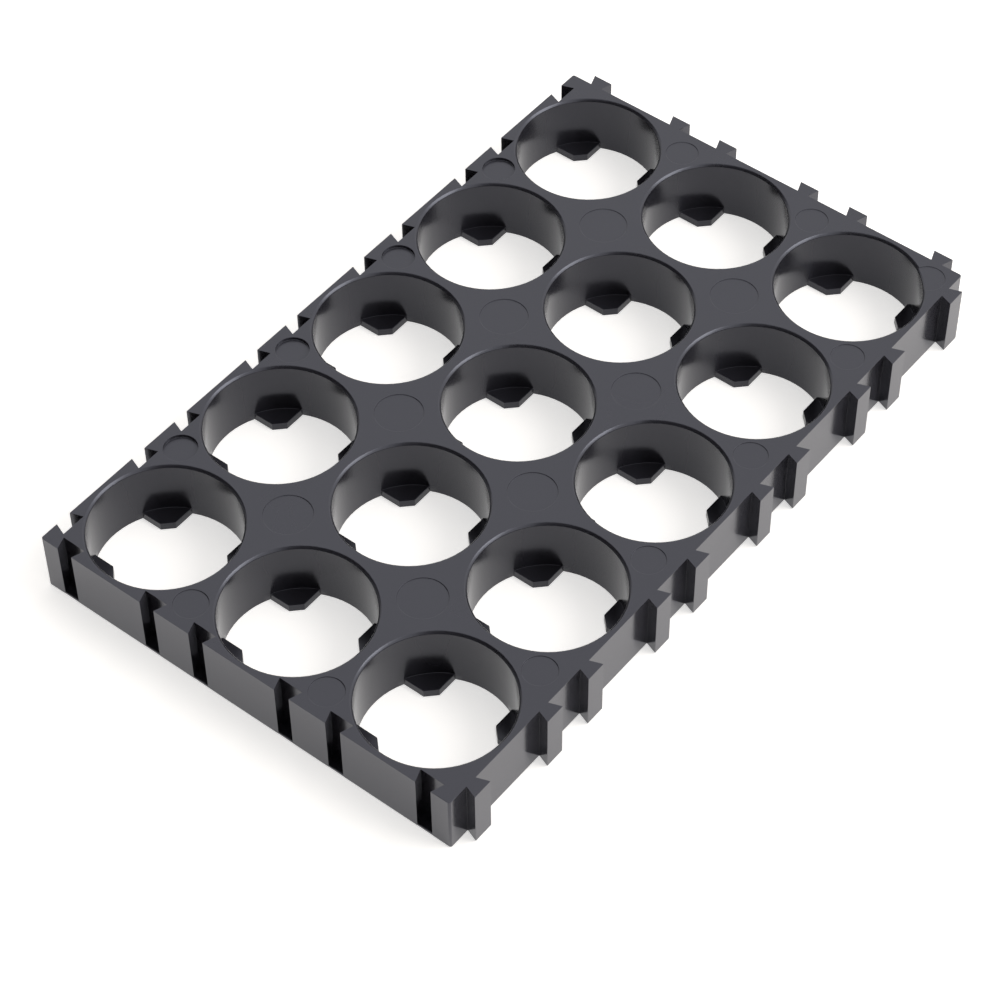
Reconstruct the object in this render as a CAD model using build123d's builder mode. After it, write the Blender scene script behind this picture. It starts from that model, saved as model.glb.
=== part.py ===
from build123d import *

import os
from math import radians, tan

# Cell holder: one moulding that spaces fifteen cylindrical cells in a square grid. A cell drops in
# from above through a chamfered mouth and stands on four corner lugs. The cross-shaped window
# between the lugs bares the cell's end for a nickel strip. Dovetail tabs on two walls slide down
# into the slots of a neighbouring holder. All sizes are in millimetres.

# Grid of cells
columns = 3  # along X
rows = 5  # along Y
cell_diameter = 18.2  # a sleeved 18650 cell
cell_clearance = 0.3  # on the diameter
seat_web = 1.75  # thinnest wall between two seats

# Plate
holder_height = 8.4
corner_radius = 0.3  # the plate's upright corners
mouth_chamfer = 0.3  # 45 degree lead-in at each cell's mouth

# Lugs that the cells stand on
lug_thickness = 1.0
lug_reach = 6.7  # from the cell's axis to the slanted tip of a lug
strip_width = 8.0  # nickel strip that lies between the lugs
strip_clearance = 0.1  # each side of the strip
window_draft = 2.0  # degrees, on the walls that the core's nose leaves between the lugs

# Dovetails, two to a cell
slot_corner_web = 0.42  # left between the two slots beside a corner of the plate
tab_root_width = 1.6
tab_projection = 1.6
flank_angle = 20.0  # of a dovetail's sides, from square to the wall
flank_clearance = 0.25  # each side of a tab in its slot
tip_clearance = 0.05  # ahead of a tab in its slot

# Round witness marks that the ejector pins leave in the top face
junction_mark_diameter = 6.0  # where four cells meet
edge_mark_diameter = 4.2  # between two cells along a wall
edge_mark_inset = 3.4  # from the wall
corner_mark_inset = 3.0  # from the two walls
mark_depth = 0.1
slot_wall_mark_depth = 0.4  # the pins along the slotted long wall stood higher

# Worked out from the sizes above
bore_radius = (cell_diameter + cell_clearance) / 2
cell_pitch = 2 * bore_radius + seat_web  # from one cell's axis to the next
strip_gap = strip_width + 2 * strip_clearance
plate_width = columns * cell_pitch
plate_length = rows * cell_pitch
flank_spread = 2 * tan(radians(flank_angle))  # gain in width for each millimetre along a dovetail
tab_tip_width = tab_root_width + flank_spread * tab_projection
slot_depth = tab_projection + tip_clearance
slot_mouth_width = tab_root_width + 2 * flank_clearance
slot_end_width = slot_mouth_width + flank_spread * slot_depth
dovetail_offset = cell_pitch / 2 - slot_end_width / 2 - slot_depth - slot_corner_web  # from a cell's axis
flank_slope = 90 - flank_angle  # of a dovetail's sides, from its wide end

# The tabs stand out on two sides only, so the plate's middle lies half a tab off the centre of the
# whole outline, where the origin is.
underside = Plane((-tab_projection / 2, -tab_projection / 2, 0))
top_face = underside.offset(holder_height)

# The window in a seat's floor: two crossing strip gaps, and the slanted tips of the four lugs
with BuildSketch() as seat_window:
    Rectangle(strip_gap, 2 * bore_radius)
    Rectangle(2 * bore_radius, strip_gap)
    Rectangle(2 * lug_reach, 2 * lug_reach, rotation=45)
    Circle(bore_radius, mode=Mode.INTERSECT)

with BuildPart() as holder:
    with BuildSketch(underside):
        Rectangle(plate_width, plate_length)
    extrude(amount=holder_height)
    fillet(holder.edges().filter_by(Axis.Z), corner_radius)

    # Tabs: the narrow root is on the wall, and the wide tip stands out
    with BuildSketch(underside):
        with Locations((plate_width / 2, 0)):
            with GridLocations(cell_pitch, cell_pitch, 1, rows):
                with GridLocations(cell_pitch, 2 * dovetail_offset, 1, 2):
                    Trapezoid(tab_tip_width, tab_projection, flank_slope,
                              rotation=90, align=(Align.CENTER, Align.MAX))
        with Locations((0, plate_length / 2)):
            with GridLocations(cell_pitch, cell_pitch, columns, 1):
                with GridLocations(2 * dovetail_offset, cell_pitch, 2, 1):
                    Trapezoid(tab_tip_width, tab_projection, flank_slope,
                              rotation=180, align=(Align.CENTER, Align.MAX))
    extrude(amount=holder_height)

    # Slots: the same dovetail with its clearances, cut into the two opposite walls
    with BuildSketch(underside):
        with Locations((-plate_width / 2, 0)):
            with GridLocations(cell_pitch, cell_pitch, 1, rows):
                with GridLocations(cell_pitch, 2 * dovetail_offset, 1, 2):
                    Trapezoid(slot_end_width, slot_depth, flank_slope,
                              rotation=90, align=(Align.CENTER, Align.MAX))
        with Locations((0, -plate_length / 2)):
            with GridLocations(cell_pitch, cell_pitch, columns, 1):
                with GridLocations(2 * dovetail_offset, cell_pitch, 2, 1):
                    Trapezoid(slot_end_width, slot_depth, flank_slope,
                              rotation=180, align=(Align.CENTER, Align.MAX))
    extrude(amount=holder_height, mode=Mode.SUBTRACT)

    # Seats: a chamfered, straight bore down to a floor as thick as the lugs
    with Locations(top_face):
        with GridLocations(cell_pitch, cell_pitch, columns, rows):
            CounterSinkHole(bore_radius, bore_radius + mouth_chamfer,
                            holder_height - lug_thickness, 90)

    # The window through each floor leaves the four lugs, and narrows downwards by its draft
    with BuildSketch(underside.offset(lug_thickness)):
        with GridLocations(cell_pitch, cell_pitch, columns, rows):
            add(seat_window.sketch)
    extrude(amount=-lug_thickness, taper=window_draft, mode=Mode.SUBTRACT)

    # Pin marks where four cells meet, along the plain walls, and in the corner between the tabs
    with BuildSketch(top_face):
        with GridLocations(cell_pitch, cell_pitch, columns - 1, rows - 1):
            Circle(junction_mark_diameter / 2)
        with Locations((plate_width / 2 - edge_mark_inset, 0)):
            with GridLocations(cell_pitch, cell_pitch, 1, rows - 1):
                Circle(edge_mark_diameter / 2)
        with GridLocations(cell_pitch, plate_length - 2 * edge_mark_inset, columns - 1, 2):
            Circle(edge_mark_diameter / 2)
        with Locations((plate_width / 2 - corner_mark_inset, plate_length / 2 - corner_mark_inset)):
            Circle(edge_mark_diameter / 2)
    extrude(amount=-mark_depth, mode=Mode.SUBTRACT)

    # Deeper pin marks along the slotted long wall
    with BuildSketch(top_face):
        with Locations((-plate_width / 2 + edge_mark_inset, 0)):
            with GridLocations(cell_pitch, cell_pitch, 1, rows - 1):
                Circle(edge_mark_diameter / 2)
    extrude(amount=-slot_wall_mark_depth, mode=Mode.SUBTRACT)

holder.part.label = "cell_holder"

os.makedirs("parts", exist_ok=True)
export_step(holder.part, "parts/cell_holder.step")
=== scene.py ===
"""Builds the finished look of a moulded holder for fifteen cylindrical cells, and its stage.

The holder's own mesh is merged, its slots get their thin floors, its sharp edges are broken, and its
faces get one of three finishes. All of it is one piece. Lengths are in metres."""

from math import radians

import bmesh
import bpy
from bpy.props import FloatProperty, FloatVectorProperty, IntProperty, PointerProperty
from mathutils import Matrix, Vector


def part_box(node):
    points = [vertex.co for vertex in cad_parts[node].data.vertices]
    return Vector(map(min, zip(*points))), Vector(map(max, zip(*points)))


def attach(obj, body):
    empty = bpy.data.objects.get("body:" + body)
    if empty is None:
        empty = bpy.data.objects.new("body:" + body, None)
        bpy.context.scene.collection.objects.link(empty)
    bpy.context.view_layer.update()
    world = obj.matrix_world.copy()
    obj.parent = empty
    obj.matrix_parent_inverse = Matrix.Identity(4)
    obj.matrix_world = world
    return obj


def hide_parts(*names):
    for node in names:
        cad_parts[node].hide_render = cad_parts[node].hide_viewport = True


bl_info = {
    "name": "Cell Holder",
    "version": (1, 0, 0),
    "blender": (4, 5, 0),
    "location": "View3D > Sidebar > Cell Holder",
    "description": "Finishes the moulding of a battery cell holder and sets its stage",
    "category": "Object",
}

MM = 0.001
HOLDER_NODE = "cell_holder"

# Seats along X and along Y
COLUMNS = 3
ROWS = 5

# Working sizes of the mesh
MERGE_DISTANCE = 0.001 * MM
HIDDEN_GAP = 0.01 * MM  # how far a slot floor's faces lie behind the moulding's own
BURIED_MARGIN = 0.05 * MM  # how far a slot floor reaches into the walls around its slot
FOOT_BAND = 0.03 * MM  # height of the band above the underside that holds the foot's edges
SEAT_BAND = 0.05 * MM  # how far outside a seat's radius a face still counts as the seat's
FLAT_ANGLE = radians(0.2)  # faces that meet at less are one face
EDGE_ANGLE = radians(25)  # edges that turn more are broken
CREASE_ANGLE = radians(40)  # edges that turn more are shaded as sharp
FOOT_ANGLE = radians(60)  # edges of the foot turn more

# ABS has an index of about 1.54. The top and the walls look brighter than that gives.
BRIGHT_IOR = 1.7
SEAT_IOR = 1.5
GLOSS_SPREAD = 0.04  # how far the roughness strays, up and down
FLOW_SIZE = 9 * MM  # size of the resin's flow patches
SPECULAR_TINT = "#eef0ff"
PAPER_GLOW = 0.58  # what the white paper adds to what it scatters, where it is seen

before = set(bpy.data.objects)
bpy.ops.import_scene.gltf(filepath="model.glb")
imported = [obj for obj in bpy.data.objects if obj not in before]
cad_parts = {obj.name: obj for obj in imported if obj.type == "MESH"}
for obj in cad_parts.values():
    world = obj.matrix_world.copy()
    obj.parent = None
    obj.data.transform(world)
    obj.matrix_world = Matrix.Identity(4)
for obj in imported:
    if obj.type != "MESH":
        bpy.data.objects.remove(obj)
cad_low, cad_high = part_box(HOLDER_NODE)


def linear(hex_colour):
    """An sRGB hex colour as a linear RGBA tuple."""
    channels = [int(hex_colour[i:i + 2], 16) / 255 for i in (1, 3, 5)]
    return tuple(c / 12.92 if c <= 0.04045 else ((c + 0.055) / 1.055) ** 2.4
                 for c in channels) + (1.0,)


# ---------------------------------------------------------------- sizes and colours to change

class HolderMouldingProperties(bpy.types.PropertyGroup):
    """Sizes and finish of the moulded holder"""

    edge_break: FloatProperty(
        name="Edge break",
        description="Width of the small round that moulding leaves on sharp edges",
        default=0.07 * MM, min=0.0, unit="LENGTH", precision=5)
    edge_segments: IntProperty(
        name="Edge segments", description="Steps across the small round", default=2, min=1, max=4)
    foot_round: FloatProperty(
        name="Foot round", description="Width of the round along the foot of the outer walls",
        default=0.2 * MM, min=0.0, unit="LENGTH", precision=5)
    slot_floor: FloatProperty(
        name="Slot floor", description="Thickness of the thin floor that closes a slot's lower end",
        default=0.45 * MM, min=0.0, unit="LENGTH", precision=5)
    slot_offset: FloatProperty(
        name="Slot offset", description="From a cell's axis to the middle of a slot beside it",
        default=6.405 * MM, unit="LENGTH", precision=5)
    slot_width: FloatProperty(
        name="Slot width", description="Width of a slot's inner end", default=3.3 * MM,
        unit="LENGTH", precision=5)
    slot_depth: FloatProperty(
        name="Slot depth", description="From the wall to a slot's inner end", default=1.65 * MM,
        unit="LENGTH", precision=5)
    cell_pitch: FloatProperty(
        name="Cell pitch", description="From one cell's axis to the next", default=20.25 * MM,
        unit="LENGTH", precision=5)
    seat_radius: FloatProperty(
        name="Seat radius", description="Radius of the wall around a cell", default=9.25 * MM,
        unit="LENGTH", precision=5)
    abs_colour: FloatVectorProperty(
        name="ABS colour", description="Colour of the black ABS", subtype="COLOR", size=4,
        min=0.0, max=1.0, default=linear("#27262b"))
    top_roughness: FloatProperty(
        name="Top roughness", description="Roughness of the fine-textured top face", default=0.3,
        min=0.0, max=1.0)
    side_roughness: FloatProperty(
        name="Side roughness", description="Roughness of the outer walls, tabs and slots",
        default=0.16, min=0.0, max=1.0)
    seat_roughness: FloatProperty(
        name="Seat roughness", description="Roughness of the seats, which polished cores drew",
        default=0.2, min=0.0, max=1.0)
    grain_size: FloatProperty(
        name="Grain size",
        description="Size of the spark texture's grains, drawn coarse enough to show",
        default=0.22 * MM, unit="LENGTH", precision=5)


class StageProperties(bpy.types.PropertyGroup):
    """Camera, lamps and floor around the holder"""

    azimuth: FloatProperty(
        name="Azimuth", description="Camera's turn from the front towards the right side",
        default=radians(38.9), subtype="ANGLE")
    elevation: FloatProperty(
        name="Elevation", description="Camera's height angle", default=radians(49.38),
        subtype="ANGLE")
    roll: FloatProperty(
        name="Roll", description="Camera's turn about its own line of sight", default=radians(0.74),
        subtype="ANGLE")
    distance: FloatProperty(
        name="Distance", description="From the aim point to the camera", default=363.8 * MM,
        unit="LENGTH")
    aim: FloatVectorProperty(
        name="Aim", description="Point that the camera looks at", subtype="XYZ", unit="LENGTH",
        default=(4.87 * MM, -11.49 * MM, 4.2 * MM))
    lens: FloatProperty(
        name="Lens", description="Focal length in millimetres for a 36 mm sensor", default=110.6)
    world_strength: FloatProperty(
        name="World strength", description="Level of the white surroundings", default=0.85, min=0.0)
    key_energy: FloatProperty(
        name="Key energy", description="Power of the large lamp on the right, in watts",
        default=2.0, min=0.0)
    flag_distance: FloatProperty(
        name="Flag distance", description="From the origin to the black cloth", default=0.9,
        unit="LENGTH")
    flag_foot: FloatProperty(
        name="Flag foot", description="Height of the cloth's lower edge", default=0.12,
        unit="LENGTH")
    flag_height: FloatProperty(
        name="Flag height", description="Height of the cloth's upper edge", default=1.6,
        unit="LENGTH")
    flag_start: FloatProperty(
        name="Flag start", description="Turn from +X to the cloth's left end",
        default=radians(185), subtype="ANGLE")
    flag_sweep: FloatProperty(
        name="Flag sweep", description="Turn that the cloth spans", default=radians(140),
        subtype="ANGLE")


# ---------------------------------------------------------------- materials

def add_node(tree, kind, settings=None, inputs=None, links=None):
    """Add a node, set its properties and sockets, and link its inputs from (node, output) pairs."""
    node = tree.nodes.new(kind)
    for name, value in (settings or {}).items():
        setattr(node, name, value)
    for name, value in (inputs or {}).items():
        node.inputs[name].default_value = value
    for name, (source, output) in (links or {}).items():
        tree.links.new(source.outputs[output], node.inputs[name])
    return node


def new_material(name):
    """A node material with an empty tree, and the tree."""
    material = bpy.data.materials.new(name)
    material.use_nodes = True
    material.node_tree.nodes.clear()
    return material, material.node_tree


def black_abs(name, colour, ior, roughness, grain, grain_depth, streaks):
    """Injection-moulded black ABS. Carbon black gives a deep neutral grey, the resin's own surface
    a clear but blurred reflection, and the steel's texture a fine grain. On the seats the grain is
    drawn out into streaks that run the way the core was pulled."""
    material, tree = new_material(name)
    place = add_node(tree, "ShaderNodeTexCoord")
    flow = add_node(tree, "ShaderNodeTexNoise", inputs={"Scale": 1 / FLOW_SIZE, "Detail": 3.0},
                    links={"Vector": (place, "Object")})
    stretch = add_node(tree, "ShaderNodeMapping",
                       inputs={"Scale": (1.0, 1.0, 0.12) if streaks else (1.0, 1.0, 1.0)},
                       links={"Vector": (place, "Object")})
    grains = add_node(tree, "ShaderNodeTexNoise", inputs={"Scale": 1 / grain, "Detail": 2.0},
                      links={"Vector": (stretch, "Vector")})
    tint = add_node(tree, "ShaderNodeMix", {"data_type": "RGBA"},
                    links={"Factor": (flow, "Fac")})
    tint.inputs["A"].default_value = [c * 0.9 for c in colour[:3]] + [1.0]
    tint.inputs["B"].default_value = [c * 1.1 for c in colour[:3]] + [1.0]
    gloss = add_node(tree, "ShaderNodeMapRange",
                     inputs={"From Min": 0.3, "From Max": 0.7,
                             "To Min": roughness - GLOSS_SPREAD,
                             "To Max": roughness + GLOSS_SPREAD},
                     links={"Value": (flow, "Fac")})
    relief = add_node(tree, "ShaderNodeBump", inputs={"Strength": 1.0, "Distance": grain_depth},
                      links={"Height": (grains, "Fac")})
    surface = add_node(tree, "ShaderNodeBsdfPrincipled",
                       inputs={"IOR": ior, "Specular Tint": linear(SPECULAR_TINT)},
                       links={"Base Color": (tint, "Result"), "Roughness": (gloss, "Result"),
                              "Normal": (relief, "Normal")})
    add_node(tree, "ShaderNodeOutputMaterial", links={"Surface": (surface, "BSDF")})
    return material


def paper_sweep():
    """White studio paper: flat, with no sheen. Seen directly or in a reflection it glows a little,
    so that the open floor reads as white while the holder's shadow stays on it. From below it is
    clear, so that the holder's underside can be looked at."""
    material, tree = new_material("white_studio_paper")
    path = add_node(tree, "ShaderNodeLightPath")
    seen = add_node(tree, "ShaderNodeMath", {"operation": "MAXIMUM"},
                    links={0: (path, "Is Camera Ray"), 1: (path, "Is Glossy Ray")})
    glow_level = add_node(tree, "ShaderNodeMath", {"operation": "MULTIPLY"},
                          inputs={1: PAPER_GLOW}, links={0: (seen, "Value")})
    glow = add_node(tree, "ShaderNodeEmission", inputs={"Color": linear("#ffffff")},
                    links={"Strength": (glow_level, "Value")})
    paper = add_node(tree, "ShaderNodeBsdfDiffuse", inputs={"Color": linear("#f4efe9")})
    both = add_node(tree, "ShaderNodeAddShader", links={0: (glow, "Emission"), 1: (paper, "BSDF")})
    side = add_node(tree, "ShaderNodeNewGeometry")
    clear = add_node(tree, "ShaderNodeBsdfTransparent")
    sheet = add_node(tree, "ShaderNodeMixShader",
                     links={0: (side, "Backfacing"), 1: (both, "Shader"), 2: (clear, "BSDF")})
    add_node(tree, "ShaderNodeOutputMaterial", links={"Surface": (sheet, "Shader")})
    return material


# ---------------------------------------------------------------- the moulding

def nearest_cell_axis(point, settings):
    """The plan position of the cell axis nearest to a point."""
    pitch = settings.cell_pitch
    tab_reach = (cad_high.x - cad_low.x) - COLUMNS * pitch
    middle = Vector((-tab_reach / 2, -tab_reach / 2))
    last_column, last_row = COLUMNS // 2, ROWS // 2
    column = max(-last_column, min(last_column, round((point.x - middle.x) / pitch)))
    row = max(-last_row, min(last_row, round((point.y - middle.y) / pitch)))
    return middle + Vector((column * pitch, row * pitch))


def add_slot_floors(shape, settings):
    """Close the lower end of each slot in the two slotted walls with a thin floor. Each is a small
    block whose sides and back are buried in the moulding."""
    deep = settings.slot_depth + BURIED_MARGIN - HIDDEN_GAP
    wide = settings.slot_width + 2 * BURIED_MARGIN
    thick = settings.slot_floor - HIDDEN_GAP
    middle = nearest_cell_axis(Vector((0, 0)), settings)
    for along, count, wall in ((0, COLUMNS, cad_low.y), (1, ROWS, cad_low.x)):
        for cell in range(count):
            axis_place = middle[along] + (cell - (count - 1) / 2) * settings.cell_pitch
            for side in (-1, 1):
                place = Vector((0, 0, cad_low.z + HIDDEN_GAP + thick / 2))
                place[along] = axis_place + side * settings.slot_offset
                place[1 - along] = wall + HIDDEN_GAP + deep / 2
                size = (wide, deep, thick, 1) if along == 0 else (deep, wide, thick, 1)
                bmesh.ops.create_cube(shape, size=1.0,
                                      matrix=Matrix.Translation(place) @ Matrix.Diagonal(size))


def foot_edges(shape, settings):
    """The edges along the foot of the outer walls, tabs and slots."""
    for edge in shape.edges:
        middle = (edge.verts[0].co + edge.verts[1].co) / 2
        off_axis = (middle.xy - nearest_cell_axis(middle, settings)).length
        if (all(v.co.z < cad_low.z + FOOT_BAND for v in edge.verts)
                and edge.calc_face_angle() > FOOT_ANGLE
                and off_axis > settings.seat_radius + 2 * SEAT_BAND):
            yield edge


def finish_of(face, settings):
    """Which of the mould's three finishes a face has: 0 the top, 1 the outer walls and the
    underside, 2 the seats with their lugs."""
    centre = face.calc_center_median()
    off_axis = (centre.xy - nearest_cell_axis(centre, settings)).length
    if off_axis < settings.seat_radius + SEAT_BAND and centre.z > cad_low.z + 2 * HIDDEN_GAP:
        return 2
    return 0 if face.normal.z > 0.5 and centre.z > (cad_low.z + cad_high.z) / 2 else 1


def is_level(face):
    """Whether a face lies level. Such faces are shaded apart from the rounds beside them, so that
    the top stays flat."""
    return abs(face.normal.z) > 0.99999


class CELLHOLDER_OT_moulding(bpy.types.Operator):
    """Make the holder's moulding from a merged copy of its CAD mesh, with its sharp edges broken"""

    bl_idname = "cell_holder.moulding"
    bl_label = "Holder moulding"

    def execute(self, context):
        settings = context.scene.holder_moulding
        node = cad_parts[HOLDER_NODE]
        mesh = bpy.data.meshes.new("holder_moulding")
        shape = bmesh.new()
        shape.from_mesh(node.data)
        bmesh.ops.remove_doubles(shape, verts=shape.verts, dist=MERGE_DISTANCE)
        bmesh.ops.dissolve_limit(shape, angle_limit=FLAT_ANGLE, verts=shape.verts,
                                 edges=shape.edges)
        if not all(edge.is_manifold for edge in shape.edges):
            raise RuntimeError("the merged holder has open edges")
        add_slot_floors(shape, settings)
        bmesh.ops.bevel(shape, geom=list(foot_edges(shape, settings)),
                        offset=settings.foot_round, offset_type="OFFSET", segments=4,
                        profile=0.5, affect="EDGES", clamp_overlap=True, material=-1)
        sharp = [e for e in shape.edges if e.calc_face_angle() > EDGE_ANGLE]
        bmesh.ops.bevel(shape, geom=sharp, offset=settings.edge_break, offset_type="OFFSET",
                        segments=settings.edge_segments, profile=0.5, affect="EDGES",
                        clamp_overlap=True, material=-1)
        bmesh.ops.triangulate(shape, faces=[f for f in shape.faces if len(f.verts) > 4])
        shape.normal_update()
        for face in shape.faces:
            face.smooth = True
            face.material_index = finish_of(face, settings)
        for edge in shape.edges:
            one, other = edge.link_faces
            edge.smooth = (edge.calc_face_angle() < CREASE_ANGLE
                           and is_level(one) == is_level(other))
        shape.to_mesh(mesh)
        shape.free()
        colour = tuple(settings.abs_colour)
        grain = settings.grain_size
        for name, ior, roughness, grain_width, grain_depth, streaks in (
                ("black_abs_fine_textured", BRIGHT_IOR, settings.top_roughness,
                 grain, 0.004 * MM, False),
                ("black_abs_satin_walls", BRIGHT_IOR, settings.side_roughness,
                 grain, 0.001 * MM, False),
                ("black_abs_core_polished", SEAT_IOR, settings.seat_roughness,
                 2 * grain, 0.002 * MM, True)):
            mesh.materials.append(black_abs(name, colour, ior, roughness, grain_width,
                                            grain_depth, streaks))
        piece = bpy.data.objects.new("holder_moulding", mesh)
        context.scene.collection.objects.link(piece)
        flat_faces = piece.modifiers.new("flat_faces_stay_flat", "WEIGHTED_NORMAL")
        flat_faces.keep_sharp = True
        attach(piece, "root")
        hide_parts(HOLDER_NODE)
        return {"FINISHED"}


# ---------------------------------------------------------------- the stage

PAPER_HALF_WIDTH = 3.0
PAPER_GAP = 0.02 * MM  # between the paper and the underside
KEY_PLACE = (0.45, 0.25, 0.45)
KEY_SIZE = 0.4
FLAG_STEPS = 24


def make_floor():
    """A sheet of white paper under the holder. It lies a hair lower than the underside, so that
    the two level surfaces never share a plane."""
    mesh = bpy.data.meshes.new("floor_paper")
    shape = bmesh.new()
    bmesh.ops.create_grid(shape, x_segments=1, y_segments=1, size=PAPER_HALF_WIDTH)
    bmesh.ops.translate(shape, verts=shape.verts, vec=(0, 0, cad_low.z - PAPER_GAP))
    shape.to_mesh(mesh)
    shape.free()
    mesh.materials.append(paper_sweep())
    floor = bpy.data.objects.new("floor_paper", mesh)
    bpy.context.scene.collection.objects.link(floor)


def make_world(strength):
    """White surroundings. They light the holder at a plain level and look white behind it, and
    also in what the holder reflects."""
    world = bpy.data.worlds.new("white_surroundings")
    world.use_nodes = True
    tree = world.node_tree
    tree.nodes.clear()
    path = add_node(tree, "ShaderNodeLightPath")
    glossy = add_node(tree, "ShaderNodeMath", {"operation": "MAXIMUM"},
                      links={0: (path, "Is Glossy Ray"), 1: (path, "Is Transmission Ray")})
    seen = add_node(tree, "ShaderNodeMath", {"operation": "MAXIMUM"},
                    links={0: (path, "Is Camera Ray"), 1: (glossy, "Value")})
    level = add_node(tree, "ShaderNodeMapRange", inputs={"To Min": strength, "To Max": 1.0},
                     links={"Value": (seen, "Value")})
    sky = add_node(tree, "ShaderNodeBackground", inputs={"Color": linear("#ffffff")},
                   links={"Strength": (level, "Result")})
    add_node(tree, "ShaderNodeOutputWorld", links={"Surface": (sky, "Background")})
    bpy.context.scene.world = world


def make_flag(settings):
    """A curved black cloth across the front, as in a studio, which the camera doesn't see. It keeps
    the light off the near rims of the seats and leaves a soft shadow along the front wall."""
    mesh = bpy.data.meshes.new("black_flag")
    shape = bmesh.new()
    start = Matrix.Rotation(settings.flag_start, 4, "Z") @ Vector((settings.flag_distance, 0, 0))
    foot = shape.verts.new(start + Vector((0, 0, settings.flag_foot)))
    head = shape.verts.new(start + Vector((0, 0, settings.flag_height)))
    edge = shape.edges.new((foot, head))
    bmesh.ops.spin(shape, geom=[foot, head, edge], cent=(0, 0, 0), axis=(0, 0, 1),
                   angle=settings.flag_sweep, steps=FLAG_STEPS, use_merge=False)
    shape.to_mesh(mesh)
    shape.free()
    material, tree = new_material("black_flag_cloth")
    cloth = add_node(tree, "ShaderNodeBsdfDiffuse", inputs={"Color": linear("#1c1c1c")})
    add_node(tree, "ShaderNodeOutputMaterial", links={"Surface": (cloth, "BSDF")})
    mesh.materials.append(material)
    flag = bpy.data.objects.new("black_flag", mesh)
    flag.visible_camera = False
    bpy.context.scene.collection.objects.link(flag)


def make_softbox(name, place, aim, size, energy):
    """A square soft lamp at a place, facing a point."""
    data = bpy.data.lights.new(name, "AREA")
    data.shape = "SQUARE"
    data.size = size
    data.energy = energy
    lamp = bpy.data.objects.new(name, data)
    lamp.location = place
    lamp.rotation_euler = (Vector(aim) - Vector(place)).to_track_quat("-Z", "Y").to_euler()
    bpy.context.scene.collection.objects.link(lamp)


def make_camera(settings):
    """A long lens that looks down on the holder from the front right."""
    data = bpy.data.cameras.new("camera")
    data.lens = settings.lens
    data.sensor_width = 36.0
    data.clip_start = 0.01
    data.clip_end = 20.0
    camera = bpy.data.objects.new("camera", data)
    turn = (Matrix.Rotation(settings.azimuth, 4, "Z")
            @ Matrix.Rotation(radians(90) - settings.elevation, 4, "X")
            @ Matrix.Rotation(-settings.roll, 4, "Z"))
    back = turn.to_3x3() @ Vector((0, 0, settings.distance))
    camera.matrix_world = Matrix.Translation(Vector(settings.aim) + back) @ turn
    bpy.context.scene.collection.objects.link(camera)
    bpy.context.scene.camera = camera


class CELLHOLDER_OT_stage(bpy.types.Operator):
    """Lay the white floor, and set the surroundings, the lamps and the camera"""

    bl_idname = "cell_holder.stage"
    bl_label = "Stage"

    def execute(self, context):
        settings = context.scene.holder_stage
        make_floor()
        make_world(settings.world_strength)
        make_flag(settings)
        middle = (cad_low + cad_high) / 2
        make_softbox("key_softbox", KEY_PLACE, middle, KEY_SIZE, settings.key_energy)
        make_camera(settings)
        context.scene.view_settings.view_transform = "Standard"
        return {"FINISHED"}


# ---------------------------------------------------------------- panel and registration

class CELLHOLDER_PT_panel(bpy.types.Panel):
    """Lists the holder's piece and the stage with their settings"""

    bl_label = "Cell Holder"
    bl_idname = "CELLHOLDER_PT_panel"
    bl_space_type = "VIEW_3D"
    bl_region_type = "UI"
    bl_category = "Cell Holder"

    def draw(self, context):
        for operator, group in ((CELLHOLDER_OT_moulding, context.scene.holder_moulding),
                                (CELLHOLDER_OT_stage, context.scene.holder_stage)):
            box = self.layout.box()
            box.operator(operator.bl_idname)
            for name in group.bl_rna.properties.keys():
                if name not in {"rna_type", "name"}:
                    box.prop(group, name)


CLASSES = (HolderMouldingProperties, StageProperties, CELLHOLDER_OT_moulding, CELLHOLDER_OT_stage,
           CELLHOLDER_PT_panel)


def register():
    for cls in CLASSES:
        bpy.utils.register_class(cls)
    bpy.types.Scene.holder_moulding = PointerProperty(type=HolderMouldingProperties)
    bpy.types.Scene.holder_stage = PointerProperty(type=StageProperties)


def unregister():
    del bpy.types.Scene.holder_stage
    del bpy.types.Scene.holder_moulding
    for cls in reversed(CLASSES):
        bpy.utils.unregister_class(cls)


def main():
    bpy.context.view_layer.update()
    register()
    bpy.ops.cell_holder.moulding()
    bpy.ops.cell_holder.stage()


if __name__ == "__main__":
    main()
